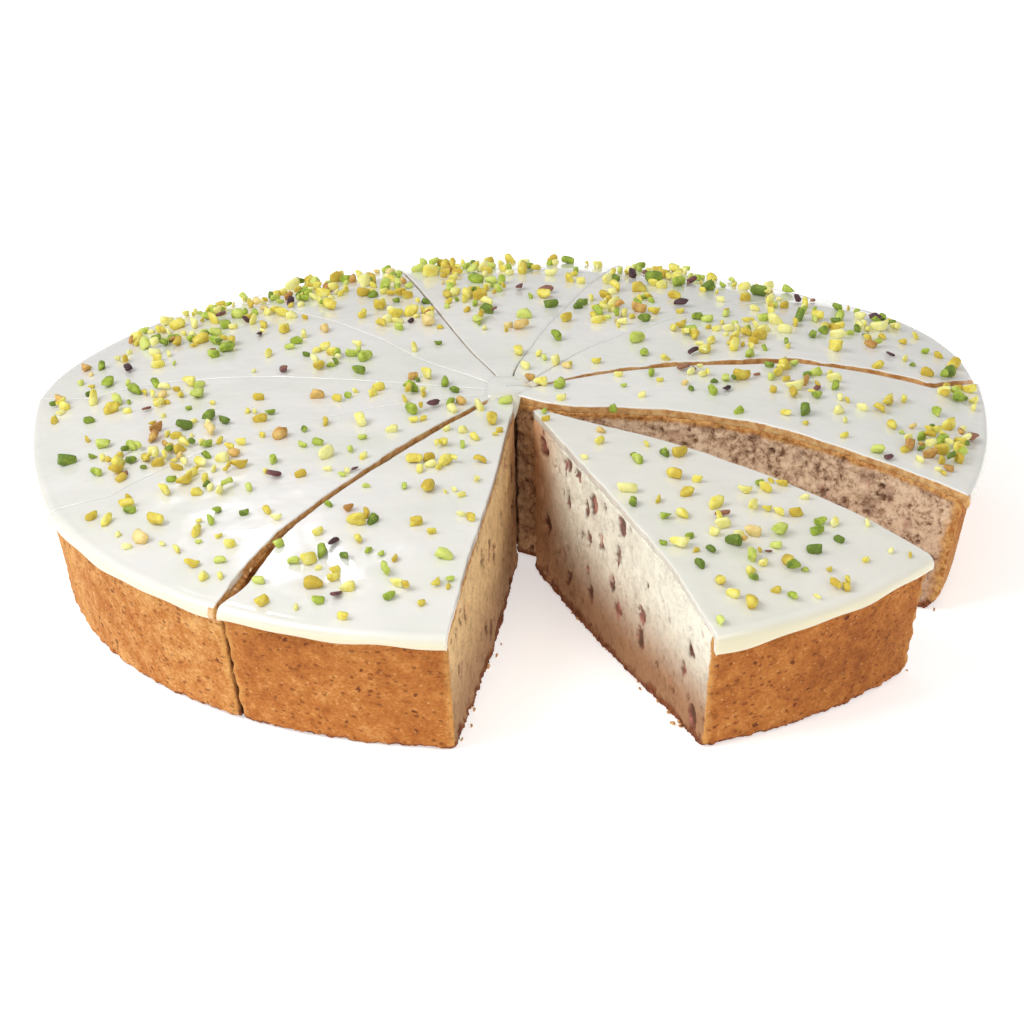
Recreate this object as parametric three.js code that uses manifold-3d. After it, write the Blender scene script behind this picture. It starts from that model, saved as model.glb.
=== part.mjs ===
// A round banana cake, baked in a shallow flared tin and cut into portions. Its domed top and rim are
// covered with white icing, and chopped pistachios are scattered over the icing. Two portions' worth of
// the round is open at the front right, and one slice stands drawn forward in that opening.
//
// Millimetres, +Z up. The origin is on the table, under the middle of the whole cake's box. Azimuths are
// degrees about the cake's middle, measured from the front (-Y) and growing to the right (+X).

import * as THREE from 'three';
import { mergeVertices } from 'three/addons/utils/BufferGeometryUtils.js';
import Module from 'manifold-3d';

const wasm = await Module();
wasm.setup();

// ---------------------------------------------------------------- driving dimensions

const RIM_RADIUS = 140;        // widest line of the icing
const BASE_RADIUS = 131;       // foot of the flared wall
const RIM_HEIGHT = 37;         // height of the top surface, carried out to the rim
const DOME_RISE = 13.2;        // how much higher the middle stands
const DOME_POWER = 3.2;        // flat in the middle, falling away faster towards the rim

const ICING_THICKNESS = 1.9;
const RIM_ROUNDING = 3;        // radius with which the icing turns over the rim
const LIP_DRAW_IN = 0.3;       // the lip's foot stands this much further in than the rim
const LIP_TOE = 0.4;           // the lip's inner foot is this much higher than its outer one
const LIP_WAVE = 0.5;          // the lip's foot rises and falls by this much
const LIP_RIPPLES = [          // in two ripples, each with its share of that and its number round the rim
  { share: 0.6, count: 23, phase: 1 },
  { share: 0.4, count: 41, phase: 0 },
];
const ICING_GAP = 0.3;         // between the icing and the sponge under it
const FOOT_CHAMFER = 1.6;      // broken edge round the base

// The cuts, clockwise seen from above. Each knot holds a share of the way from the middle to the rim, the
// cut's azimuth there and its width. reach is how far the rim stands out at the cut, on the portion before
// it and on the one after it. The first and the last are the faces on the open side, with no neighbour.
const CUTS = [
  {
    knots: [[0.05, 6, 0], [0.14, -1.2, 0], [0.25, -3.5, 0], [0.5, -5.3, 0], [0.75, -6.8, 0], [1, -7.6, 0]],
    reach: [-1.4, -1.4],
  },
  {
    knots: [
      [0.02, -48, 0.8], [0.06, -45.5, 1.8], [0.15, -40.4, 2.6], [0.25, -39.1, 3.2], [0.42, -37.7, 3.2],
      [0.5, -37.3, 2.2], [0.75, -36.8, 2.6], [0.88, -35.2, 1.8], [0.94, -34.6, 1.1], [1, -34.7, 0.9],
    ],
    reach: [1.2, 1.2],
  },
  {
    knots: [[0.25, -76, 0.6], [0.5, -72.6, 0.6], [0.75, -68.6, 0.6], [0.88, -66.3, 0.6], [1, -69, 0.6]],
    reach: [-0.3, -0.3],
  },
  {
    knots: [
      [0.25, -104.5, 0.6], [0.5, -105.2, 0.6], [0.75, -102.8, 0.6], [0.88, -99.6, 0.6], [1, -102.8, 0.6],
    ],
    reach: [4.5, 4.5],
  },
  { knots: [[0.25, -135, 0.6], [0.42, -139.6, 0.6], [1, -140.5, 0.6]], reach: [-1.4, -1.4] },
  { knots: [[0.25, -160.5, 0.6], [0.5, -162.3, 0.8], [0.75, -163.8, 0.9], [1, -165, 0.9]], reach: [0, 0] },
  {
    knots: [[0.1, -184, 0.6], [0.25, -190.5, 0.6], [0.5, -193.8, 0.8], [0.75, -195.1, 1.6], [1, -195, 2.2]],
    reach: [0, 0],
  },
  { knots: [[0.25, -215, 0.6], [0.5, -218.8, 0.6], [0.75, -221.8, 0.6], [1, -223.3, 0.6]], reach: [0, 0] },
  {
    knots: [
      [0.15, -243, 0.6], [0.25, -245.2, 0.8], [0.35, -248.6, 1.2], [0.5, -252.2, 2.0], [0.62, -252.6, 2.4],
      [0.75, -256.6, 2.8], [0.88, -260.8, 2.6], [1, -257, 1.0],
    ],
    reach: [1.8, 3.2],
  },
  {
    knots: [
      [0.018, -340, 0], [0.035, -318, 0], [0.12, -305.5, 0], [0.22, -293, 0], [0.33, -288.2, 0],
      [0.5, -287.6, 0], [0.75, -290.6, 0], [1, -292, 0],
    ],
    reach: [-1.8, -1.8],
  },
];

// The portions that stand in place, each between one cut and the next. tip is how far from the middle the
// portion's point ends, lip how far the icing hangs below the rim's height, sag how much further it hangs
// at the low cut face, belly how far the rim stands out halfway between the cuts, foot the broken edge at
// the base where it differs, and nuts how many pieces of nut lie on the portion.
const PORTIONS = [
  { tip: 6, lip: 3.6, belly: 0, nuts: 20 },
  { tip: 2.5, lip: 3.6, belly: 0, nuts: 25 },
  { tip: 2.5, lip: 3.8, belly: -3, nuts: 30 },
  { tip: 2.5, lip: 4.0, belly: 2.5, nuts: 34 },
  { tip: 2.5, lip: 4.0, belly: 0, nuts: 29 },
  { tip: 2.5, lip: 4.0, belly: 0, nuts: 29 },
  { tip: 2.5, lip: 4.0, belly: 0, nuts: 29 },
  { tip: 2.5, lip: 4.0, belly: 5.4, nuts: 33 },
  { tip: 2.5, lip: 4.0, sag: -0.9, belly: -2.6, foot: 4.5, nuts: 31 },
];

// The slice that is drawn forward: where the middle of its own round is from the cake's middle, and its two
// cut faces.
const PULLED = {
  point: [5.3, -11.5],
  rim: 135.5,
  cuts: [
    { knots: [[0.25, 56.5, 0], [0.5, 55.5, 0], [0.75, 54.5, 0], [1, 53.8, 0]], reach: [0, 0] },
    { knots: [[0.25, 18.5, 0], [0.5, 19.5, 0], [0.75, 20.5, 0], [1, 20.5, 0]], reach: [0, 0] },
  ],
  tip: 3,
  lip: 3.6,
  sag: 2.6,
  belly: 0,
  nuts: 28,
};

// Pieces of nut: the longest and the shortest, how broad and thick they are for their length, and how much
// smaller their upper face is than the lower.
const NUT_LONGEST = 5.6;
const NUT_SHORTEST = 3.4;
const NUT_WIDTH = 0.66;
const NUT_DEPTH = 0.78;
const NUT_TAPER = 0.3;
const NUT_TILT = 0.7;
const NUT_ROUGHNESS = 0.22;    // how far its corners stray from an even block
const NUT_SUNK = 0.15;         // share of its thickness that is set in the icing
const NUT_EDGE_MARGIN = 0.8;   // clear icing between a nut and a cut edge
const NUT_TIP_MARGIN = 2;      // between a nut's middle and the portion's tip, in the nut's lengths
const NUT_RIM_MARGIN = 4;      // between a nut's middle and the rim
const NUT_SPACING = 0.42;      // least distance between two nuts, in the sum of their lengths
const NUT_SEED = 41;

// Where the nuts fell thickest: a place from the cake's middle, how far it spreads, and how thick they lie.
const HEAPS = [
  { at: [-93, -32], spread: 14, weight: 1.0 },
  { at: [-96, 60], spread: 14, weight: 1.0 },
  { at: [-75, 90], spread: 16, weight: 1.0 },
  { at: [-48, 114], spread: 15, weight: 1.0 },
  { at: [-8, 118], spread: 18, weight: 0.8 },
  { at: [-127, 24], spread: 9, weight: 0.9 },
  { at: [-104, 14], spread: 9, weight: 0.6 },
  { at: [-51, 27], spread: 7, weight: 0.9 },
  { at: [-22, 4], spread: 9, weight: 0.6 },
  { at: [-12, 75], spread: 12, weight: 0.8 },
  { at: [-32, 62], spread: 7, weight: 0.8 },
  { at: [30, 66], spread: 10, weight: 0.8 },
  { at: [50, 114], spread: 14, weight: 0.8 },
  { at: [86, 98], spread: 12, weight: 1.0 },
  { at: [106, 66], spread: 13, weight: 1.0 },
  { at: [66, 44], spread: 12, weight: 0.7 },
  { at: [131, 20], spread: 8, weight: 1.0 },
  { at: [84, 10], spread: 8, weight: 0.9 },
  { at: [48, 10], spread: 8, weight: 0.7 },
  { at: [122, -26], spread: 10, weight: 1.0 },
  { at: [-15, -34], spread: 10, weight: 0.9 },
  { at: [-44, -62], spread: 9, weight: 0.8 },
  { at: [-48, -100], spread: 8, weight: 0.8 },
  { at: [36, -52], spread: 10, weight: 0.7 },
  { at: [68, -65], spread: 8, weight: 1.0 },
  { at: [66, -92], spread: 15, weight: 0.8 },
];
const EVEN_SCATTER = 0.16;     // how thick the nuts lie everywhere else

// Faces along and across each portion, as shares of the way from the middle to the rim.
const DOME_STEPS = [0.25, 0.5, 0.75, 0.88];
const BASE_STEPS = [0.25, 0.5, 0.75];
const WALL_STEPS = [0.3, 0.65];
const COLUMNS = 6;

const ROUNDING_TURN = Math.PI / 4;
const DEGREE = Math.PI / 180;
const MERGE_DISTANCE = 1e-4;   // vertices closer than this are one

// ---------------------------------------------------------------- materials

const SPONGE_FINISH = { color: 0xc98b52, roughness: 0.9, metalness: 0 };
const ICING_FINISH = { color: 0xf1f0e6, roughness: 0.25, metalness: 0 };

// ---------------------------------------------------------------- the cake's section

// Height of the icing's surface at a distance from the middle, inside the rounding of the rim.
function domeHeight(shape, radius) {
  return RIM_HEIGHT + DOME_RISE * (1 - (radius / shape.rim) ** DOME_POWER);
}

// Points over the dome from the portion's tip to the start of the rounding, lowered by some depth.
function domePoints(shape, depth) {
  const radii = [shape.tip, ...DOME_STEPS.map((step) => step * shape.rim), shape.rim - RIM_ROUNDING];
  return radii.map((radius) => [radius, domeHeight(shape, radius) - depth]);
}

// Points of the rim's rounding, down to its widest line, inside the surface by some depth.
function roundingPoints(shape, depth) {
  const centre = [shape.rim - RIM_ROUNDING, domeHeight(shape, shape.rim - RIM_ROUNDING) - RIM_ROUNDING];
  const radius = RIM_ROUNDING - depth;
  return [ROUNDING_TURN, 2 * ROUNDING_TURN].map((turn) => [
    centre[0] + radius * Math.sin(turn),
    centre[1] + radius * Math.cos(turn),
  ]);
}

// The icing's outer and inner lines, both from the tip over the dome and down to the lip's foot. A third
// number marks the points that go with the lip's wave and sag.
function icingSection(shape) {
  const foot = RIM_HEIGHT - shape.lip;
  return {
    outer: [...domePoints(shape, 0), ...roundingPoints(shape, 0), [shape.rim - LIP_DRAW_IN, foot, 1]],
    inner: [
      ...domePoints(shape, ICING_THICKNESS),
      ...roundingPoints(shape, ICING_THICKNESS),
      [shape.rim - ICING_THICKNESS, foot + LIP_TOE, 1],
    ],
  };
}

// The sponge's outer line runs over its top, just under the icing, and down the flared wall to the foot.
// Its inner line is the base.
function spongeSection(shape) {
  const depth = ICING_THICKNESS + ICING_GAP;
  const rounding = roundingPoints(shape, depth);
  const shoulder = rounding[rounding.length - 1];
  const base = shape.rim * BASE_RADIUS / RIM_RADIUS;
  const wall = WALL_STEPS.map((step) => [
    shoulder[0] + step * (base - shoulder[0]),
    shoulder[1] + step * (shape.foot - shoulder[1]),
  ]);
  const foot = [[base, shape.foot], [base - shape.foot, 0]];
  return {
    outer: [...domePoints(shape, depth), ...rounding, ...wall, ...foot],
    inner: [[shape.tip, 0], ...BASE_STEPS.map((step) => [step * shape.rim, 0])],
  };
}

// ---------------------------------------------------------------- a portion's plan

// One column of a cut's knots at a distance from the middle, with straight lines from knot to knot.
function alongCut(shape, cut, radius, column) {
  const share = radius / shape.rim;
  const next = cut.knots.findIndex((knot) => share < knot[0]);
  if (next === 0) return cut.knots[0][column];
  if (next < 0) return cut.knots[cut.knots.length - 1][column];
  const [before, after] = [cut.knots[next - 1], cut.knots[next]];
  const part = (share - before[0]) / (after[0] - before[0]);
  return before[column] + part * (after[column] - before[column]);
}

// A cut's azimuth at a distance from the middle, in radians.
function courseAzimuth(shape, cut, radius) {
  return alongCut(shape, cut, radius, 1) * DEGREE;
}

function halfGap(shape, cut, radius) {
  return alongCut(shape, cut, radius, 2) / 2;
}

// Azimuth of a point that lies some share of the way across the portion, from its lower to its higher face.
function azimuthAcross(shape, radius, across) {
  const [high, low] = shape.cuts;
  const highEdge = courseAzimuth(shape, high, radius) - Math.asin(halfGap(shape, high, radius) / radius);
  const lowEdge = courseAzimuth(shape, low, radius) + Math.asin(halfGap(shape, low, radius) / radius);
  return lowEdge + across * (highEdge - lowEdge);
}

// The rim isn't a true circle: how much further out than it a point lies.
function reachAcross(shape, radius, across) {
  const [high, low] = shape.cuts;
  const atLow = low.reach[0];
  const atHigh = high.reach[1];
  const atRim = atLow + across * (atHigh - atLow) + shape.belly * 4 * across * (1 - across);
  return 1 + atRim / shape.rim * (radius / shape.rim) ** 2;
}

function lipWave(azimuth) {
  return LIP_RIPPLES.reduce((sum, ripple) => (
    sum + LIP_WAVE * ripple.share * Math.sin(ripple.count * azimuth + ripple.phase)
  ), 0);
}

// How much the lip's foot is raised at a place: its own ripples, less the sag towards the low face.
function lipLift(shape, azimuth, across) {
  return lipWave(azimuth) - shape.sag * (1 - across) ** 2;
}

// ---------------------------------------------------------------- a portion's solid

// Sweeps a section about the middle from one cut face to the other, and closes it at both cut faces with
// strips between the section's outer and inner lines, so that neighbours' faces follow each other.
function sweepSection(section, shape) {
  const loop = [...section.outer, ...[...section.inner].reverse()];
  const count = loop.length;
  const positions = [];
  const indices = [];
  for (let column = 0; column <= COLUMNS; column += 1) {
    for (const [distance, height, wave = 0] of loop) {
      const across = column / COLUMNS;
      const azimuth = azimuthAcross(shape, distance, across);
      const radius = distance * reachAcross(shape, distance, across);
      const z = height + wave * lipLift(shape, azimuth, across);
      positions.push(radius * Math.sin(azimuth), -radius * Math.cos(azimuth), z);
    }
  }
  for (let column = 0; column < COLUMNS; column += 1) {
    for (let point = 0; point < count; point += 1) {
      const here = column * count + point;
      const next = column * count + (point + 1) % count;
      indices.push(here, next, next + count, here, next + count, here + count);
    }
  }
  const far = COLUMNS * count;
  const closeFaces = (a, b, c) => {
    indices.push(a, b, c);
    indices.push(far + a, far + c, far + b);
  };
  const lastInner = section.inner.length - 1;
  for (let point = 0; point < section.outer.length - 1; point += 1) {
    const inner = count - 1 - Math.min(point, lastInner);
    const innerNext = count - 1 - Math.min(point + 1, lastInner);
    closeFaces(point, inner, point + 1);
    if (innerNext !== inner) closeFaces(point + 1, inner, innerNext);
  }
  const geometry = new THREE.BufferGeometry();
  geometry.setAttribute('position', new THREE.Float32BufferAttribute(positions, 3));
  geometry.setIndex(indices);
  return geometry;
}

// ---------------------------------------------------------------- joining solids

function toManifold(geometry) {
  const plain = geometry.clone();
  plain.deleteAttribute('normal');
  plain.deleteAttribute('uv');
  const merged = mergeVertices(plain, MERGE_DISTANCE);
  return new wasm.Manifold(new wasm.Mesh({
    numProp: 3,
    vertProperties: new Float32Array(merged.attributes.position.array),
    triVerts: new Uint32Array(merged.index.array),
  }));
}

function toGeometry(manifold) {
  const mesh = manifold.getMesh();
  const geometry = new THREE.BufferGeometry();
  geometry.setAttribute('position', new THREE.BufferAttribute(mesh.vertProperties, 3));
  geometry.setIndex(new THREE.BufferAttribute(mesh.triVerts, 1));
  return geometry;
}

// ---------------------------------------------------------------- chopped nuts

// A small seeded generator of even random numbers from 0 to 1.
function seededRandom(seed) {
  let state = seed >>> 0;
  return () => {
    state = (state + 0x6d2b79f5) >>> 0;
    let mixed = Math.imul(state ^ (state >>> 15), state | 1);
    mixed = (mixed + Math.imul(mixed ^ (mixed >>> 7), mixed | 61)) ^ mixed;
    return ((mixed ^ (mixed >>> 14)) >>> 0) / 2 ** 32;
  };
}

// Distance of a point on the portion from its nearer cut face.
function distanceToCuts(shape, radius, azimuth) {
  return Math.min(...shape.cuts.map((cut) => {
    const angle = Math.abs(azimuth - courseAzimuth(shape, cut, radius));
    return radius * Math.sin(angle) - halfGap(shape, cut, radius);
  }));
}

// How thick the nuts lie at a place, from 0 to 1.
function scatterDensity(place) {
  const heaped = HEAPS.reduce((sum, heap) => {
    const distance = Math.hypot(place.x - heap.at[0], place.y - heap.at[1]);
    return sum + heap.weight * Math.exp(-(distance ** 2) / (2 * heap.spread ** 2));
  }, EVEN_SCATTER);
  return Math.min(heaped, 1);
}

// Places for the nuts on one portion, the longest nuts first.
function placeNuts(shape, random) {
  const nuts = [];
  while (nuts.length < shape.nuts) {
    const length = NUT_LONGEST + (NUT_SHORTEST - NUT_LONGEST) * (nuts.length / shape.nuts);
    const radius = (shape.rim - NUT_RIM_MARGIN) * Math.sqrt(random());
    const across = random();
    const keep = random();
    const turn = random() * Math.PI;
    const tilt = (random() - 0.5) * NUT_TILT;
    if (radius < shape.tip + NUT_TIP_MARGIN * length) continue;
    const azimuth = azimuthAcross(shape, radius, across);
    if (distanceToCuts(shape, radius, azimuth) < length / 2 + NUT_EDGE_MARGIN) continue;
    const place = new THREE.Vector2(radius * Math.sin(azimuth), -radius * Math.cos(azimuth));
    place.multiplyScalar(reachAcross(shape, radius, across));
    if (keep > scatterDensity(place.clone().add(shape.stand))) continue;
    if (nuts.some((other) => other.place.distanceTo(place) < NUT_SPACING * (length + other.length))) continue;
    nuts.push({ place, radius, length, turn, tilt });
  }
  return nuts;
}

// One angular chopped piece of nut, its corners pulled about, lying on the icing and partly set in it.
function nutGeometry(nut, shape, random) {
  const block = new THREE.BoxGeometry(1, 1, 1);
  block.deleteAttribute('normal');
  block.deleteAttribute('uv');
  const piece = mergeVertices(block, MERGE_DISTANCE);
  const corners = piece.attributes.position;
  const stray = () => 1 + NUT_ROUGHNESS * (2 * random() - 1);
  for (let corner = 0; corner < corners.count; corner += 1) {
    const height = corners.getZ(corner);
    const taper = height > 0 ? 1 - NUT_TAPER : 1;
    corners.setX(corner, corners.getX(corner) * taper * stray());
    corners.setY(corner, corners.getY(corner) * taper * stray());
  }
  const thickness = nut.length * NUT_DEPTH;
  piece.scale(nut.length, nut.length * NUT_WIDTH, thickness);
  piece.rotateX(nut.tilt);
  piece.rotateZ(nut.turn);
  piece.translate(nut.place.x, nut.place.y, domeHeight(shape, nut.radius) + thickness * (0.5 - NUT_SUNK));
  return piece;
}

// ---------------------------------------------------------------- the portions

function namedMesh(name, geometry, finish) {
  const mesh = new THREE.Mesh(geometry, new THREE.MeshStandardMaterial(finish));
  mesh.name = name;
  return mesh;
}

function buildPortion(name, shape, seed) {
  const random = seededRandom(seed);
  let icing = toManifold(sweepSection(icingSection(shape), shape));
  for (const nut of placeNuts(shape, random)) {
    icing = icing.add(toManifold(nutGeometry(nut, shape, random)));
  }
  const portion = new THREE.Group();
  portion.add(namedMesh(`sponge_${name}`, sweepSection(spongeSection(shape), shape), SPONGE_FINISH));
  portion.add(namedMesh(`icing_${name}`, toGeometry(icing), ICING_FINISH));
  portion.position.set(shape.stand.x, shape.stand.y, 0);
  return portion;
}

const cake = new THREE.Group();

const STANDING = { rim: RIM_RADIUS, sag: 0, foot: FOOT_CHAMFER, stand: new THREE.Vector2(0, 0) };

PORTIONS.forEach((portion, index) => {
  const shape = { ...STANDING, ...portion, cuts: [CUTS[index], CUTS[index + 1]] };
  cake.add(buildPortion(String(index + 1), shape, NUT_SEED + index));
});

const pulledShape = { foot: FOOT_CHAMFER, ...PULLED, stand: new THREE.Vector2(...PULLED.point) };
cake.add(buildPortion('pulled', pulledShape, NUT_SEED + PORTIONS.length));

// The whole stands with the middle of its box over the origin.
const box = new THREE.Box3().setFromObject(cake);
const centre = box.getCenter(new THREE.Vector3());
cake.position.set(-centre.x, -centre.y, 0);
cake.updateMatrixWorld(true);

export default cake;
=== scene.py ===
# The looks of a round banana cake in portions: baked crust, open crumb on the cut faces, white icing that
# hangs a little over the rim, and chopped pistachios. Metres, +Z up; the measures below are millimetres.

import math
from dataclasses import dataclass

import bmesh
import bpy
import numpy as np
from mathutils import Matrix, Vector, noise


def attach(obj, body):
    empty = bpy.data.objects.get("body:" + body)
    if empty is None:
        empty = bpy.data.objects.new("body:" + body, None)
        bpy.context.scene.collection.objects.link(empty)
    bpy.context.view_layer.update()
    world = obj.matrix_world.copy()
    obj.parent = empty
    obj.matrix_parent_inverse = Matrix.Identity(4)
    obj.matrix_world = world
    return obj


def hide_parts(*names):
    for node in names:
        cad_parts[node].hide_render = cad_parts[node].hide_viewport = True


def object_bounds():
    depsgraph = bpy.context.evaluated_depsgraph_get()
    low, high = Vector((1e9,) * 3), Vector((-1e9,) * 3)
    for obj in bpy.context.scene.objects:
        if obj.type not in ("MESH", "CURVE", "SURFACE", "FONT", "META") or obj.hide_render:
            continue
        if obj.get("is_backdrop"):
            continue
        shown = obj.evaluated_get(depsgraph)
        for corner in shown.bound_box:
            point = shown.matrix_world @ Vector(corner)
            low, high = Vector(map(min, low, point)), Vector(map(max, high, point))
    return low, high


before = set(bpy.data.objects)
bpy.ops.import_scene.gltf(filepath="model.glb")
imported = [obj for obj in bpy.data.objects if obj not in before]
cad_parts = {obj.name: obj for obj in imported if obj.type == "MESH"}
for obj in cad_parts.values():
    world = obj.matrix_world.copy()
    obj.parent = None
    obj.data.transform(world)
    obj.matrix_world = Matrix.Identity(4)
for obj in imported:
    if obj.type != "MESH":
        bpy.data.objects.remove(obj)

MM = 0.001
cad_low, cad_high = (np.array(corner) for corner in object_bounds())

# ---------------- the cake's measures

RIM_RADIUS = 140.0        # widest line of the icing
BASE_RADIUS = 131.0       # foot of the flared wall
RIM_HEIGHT = 37.0         # height of the top surface, carried out to the rim
DOME_RISE = 13.2          # how much higher the middle stands
DOME_POWER = 3.2          # the higher, the flatter the middle

ICING_THICKNESS = 1.9
RIM_ROUNDING = 3.0
LIP_DRAW_IN = 0.3         # how far the lip's foot lies inside the widest line
LIP_TOE = 0.4             # how much higher the foot's inner edge lies
LIP_WAVE = 0.5
LIP_RIPPLES = [(0.6, 23, 1.0), (0.4, 41, 0.0)]   # share of the wave, number round the rim, phase
ICING_GAP = 0.3           # between the sponge's top and the icing, as in the CAD part
FOOT_CHAMFER = 1.6


@dataclass
class Cut:
    knots: list           # share of the way to the rim, azimuth in degrees from the front, and gap
    reach: list           # how far the rim stands out, on the portion before the cut and the one after it
    parted: tuple = ((0, 0),)   # share of the way to the rim, and how far the icing has drawn back there


@dataclass(frozen=True)
class Crumb:
    high: tuple           # colour under the icing, as it looks on screen
    low: tuple            # colour above the foot
    tip: tuple            # colour at the portion's point
    top_band: float       # how deep the browned top goes
    wall_band: float      # and how deep the browned wall
    holes: float = 1.0    # how deep the holes are
    clumps: float = 1.0   # how high the clumps between them stand, and how patchy the colour is with painted shade in small pits
    streaks: float = 1.0  # how deep the dark streaks of fruit are


# The palettes also paint light and shade on the open faces. The pulled portion's palette is near white under
# the icing, as painted light where its face meets the key light, with painted shade towards its foot and
# point. The shaded palette paints the first portion's open face in shade, darker towards its foot. The coarse
# palette's point colour is painted lighter, as painted light in the opening's shade.
PLAIN = Crumb((236, 212, 178), (200, 158, 118), (200, 156, 114), 3.0, 3.0, 1.0, 0.7)
KERF = Crumb((240, 196, 134), (204, 148, 96), (220, 176, 124), 9.0, 3.0, 1.0, 0.7)
SHADED = Crumb((246, 208, 154), (184, 144, 106), (226, 176, 124), 1.4, 1.6, 0.6, 0.3, 0.8)
LIT_CREAM = Crumb((252, 250, 234), (172, 128, 92), (216, 160, 112), 0.05, 1.3, 0.8, 0.12, 1.0)
COARSE = Crumb((240, 210, 182), (222, 186, 160), (236, 190, 144), 2.2, 4.5, 1.3, 1.0, 0.4)


@dataclass
class Portion:
    name: str
    high: Cut             # the face at the higher azimuth
    low: Cut
    nuts: int             # larger pieces of nut
    bits: int             # smaller ones
    seed: int
    tip: float = 2.5      # how far from the middle it ends
    lip: float = 4.0      # how far the icing hangs over the rim
    belly: float = 0.0    # how much further the rim stands out halfway across
    sag: float = 0.0      # how much further the icing hangs at the low face
    foot: float = FOOT_CHAMFER      # bevel at the foot of its wall
    rim: float = RIM_RADIUS
    stand: tuple = (0.0, 0.0)       # how far it is drawn out of the round, in x and y
    voxel: float = 1.2    # fineness of the sponge's surface
    crumb: Crumb = PLAIN
    roast: float = 0.5    # how dark the crust is: its baking, with painted light and shade, lighter on walls that face the key light and darker on those turned away from it
    gathering: float = 1.6          # how closely the smaller pieces of nut keep to the heaps
    cream: float = 0.0    # how much painted shade, yellower and duller, lies on the icing
    setback: tuple = (-0.2, -0.2)   # how far the icing stops short of the low and the high face
    closing: tuple = (0.0, 0.0)     # share of the cut's width that the icing covers on each side
    smear: tuple = (0.0, 0.0)       # how brown with crumb the icing's low and high edges are


CUTS = [
    Cut([(0.05, 6, 0), (0.14, -1.2, 0), (0.25, -3.5, 0), (0.5, -5.3, 0), (0.75, -6.8, 0), (1, -7.6, 0)],
        [-1.4, -1.4]),
    Cut([(0.02, -48, 0.8), (0.06, -45.5, 1.8), (0.15, -40.4, 2.6), (0.25, -39.1, 3.2), (0.42, -37.7, 3.2),
         (0.5, -37.3, 2.2), (0.75, -36.8, 2.6), (0.88, -35.2, 1.8), (0.94, -34.6, 1.1), (1, -34.7, 0.9)],
        [1.2, 1.2], [(0.75, 0), (0.85, 1.1), (0.92, 1.7), (0.97, 0.5), (1, 0)]),
    Cut([(0.25, -76, 0.6), (0.5, -72.6, 0.6), (0.75, -68.6, 0.6), (0.88, -66.3, 0.6), (1, -69, 0.6)],
        [-0.3, -0.3]),
    Cut([(0.25, -104.5, 0.6), (0.5, -105.2, 0.6), (0.75, -102.8, 0.6), (0.88, -99.6, 0.6), (1, -102.8, 0.6)],
        [4.5, 4.5]),
    Cut([(0.25, -135, 0.6), (0.42, -139.6, 0.6), (1, -140.5, 0.6)], [-1.4, -1.4]),
    Cut([(0.25, -160.5, 0.6), (0.5, -162.3, 0.8), (0.75, -163.8, 0.9), (1, -165, 0.9)], [0, 0]),
    Cut([(0.1, -184, 0.6), (0.25, -190.5, 0.6), (0.5, -193.8, 0.8), (0.75, -195.1, 1.6), (1, -195, 2.2)],
        [0, 0]),
    Cut([(0.25, -215, 0.6), (0.5, -218.8, 0.6), (0.75, -221.8, 0.6), (1, -223.3, 0.6)], [0, 0]),
    Cut([(0.15, -243, 0.6), (0.25, -245.2, 0.8), (0.35, -248.6, 1.2), (0.5, -252.2, 2.0), (0.62, -252.6, 2.4),
         (0.75, -256.6, 2.8), (0.88, -260.8, 2.6), (1, -257, 1.0)],
        [1.8, 3.2]),
    Cut([(0.018, -340, 0), (0.035, -318, 0), (0.12, -305.5, 0), (0.22, -293, 0), (0.33, -288.2, 0),
         (0.5, -287.6, 0), (0.75, -290.6, 0), (1, -292, 0)],
        [-1.8, -1.8]),
]
NUT_SEED = 41             # places of the nuts; the next two are for their kinds, and for the loose crumbs
KINDS_SEED = 11
CRUMB_SEED = 23

STANDING = [
    dict(tip=6, lip=3.6, nuts=20, bits=46, gathering=0.4, voxel=0.7, crumb=SHADED, roast=0.7,
         setback=(0.2, 0.1), closing=(0.3, 0.0), smear=(0.0, 0.3)),
    dict(lip=3.6, nuts=25, bits=54, gathering=0.8, voxel=0.8, crumb=KERF, roast=0.15,
         setback=(-0.2, 0.35), closing=(0.0, 0.3), smear=(0.0, 0.8)),
    dict(lip=3.8, belly=-3, nuts=30, bits=64, voxel=1.0, roast=0.15),
    dict(belly=2.5, nuts=34, bits=86),
    dict(nuts=29, bits=74, setback=(-0.1, -0.2), smear=(0.8, 0.0)),
    dict(nuts=29, bits=68, setback=(-0.1, -0.1), closing=(0.7, 0.0)),
    dict(nuts=29, bits=68, setback=(-0.2, -0.1), closing=(0.0, 0.7)),
    dict(belly=5.4, nuts=33, bits=84, crumb=KERF, setback=(2.1, -0.2), smear=(1.0, 0.0)),
    dict(sag=-0.9, belly=-2.6, foot=4.5, nuts=31, bits=78, voxel=0.7, crumb=COARSE,
         roast=0.95, setback=(0.3, 0.0), smear=(0.85, 0.0)),
]
PORTIONS = [
    Portion(name=str(i + 1), high=CUTS[i], low=CUTS[i + 1], seed=NUT_SEED + i, **measures)
    for i, measures in enumerate(STANDING)
]
PULLED = Portion(
    name="pulled",
    high=Cut([(0.25, 56.5, 0), (0.5, 55.5, 0), (0.75, 54.5, 0), (1, 53.8, 0)], [0, 0]),
    low=Cut([(0.25, 18.5, 0), (0.5, 19.5, 0), (0.75, 20.5, 0), (1, 20.5, 0)], [0, 0]),
    tip=3, lip=3.6, sag=2.6, nuts=28, bits=46, gathering=0.4, seed=NUT_SEED + len(STANDING),
    rim=135.5, stand=(5.3, -11.5), voxel=0.65, crumb=LIT_CREAM, roast=0.95, cream=0.15, setback=(0.3, 0.25),
    smear=(0.25, 0.2),
)
ALL_PORTIONS = [*PORTIONS, PULLED]

# ---------------- plan and section


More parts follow.
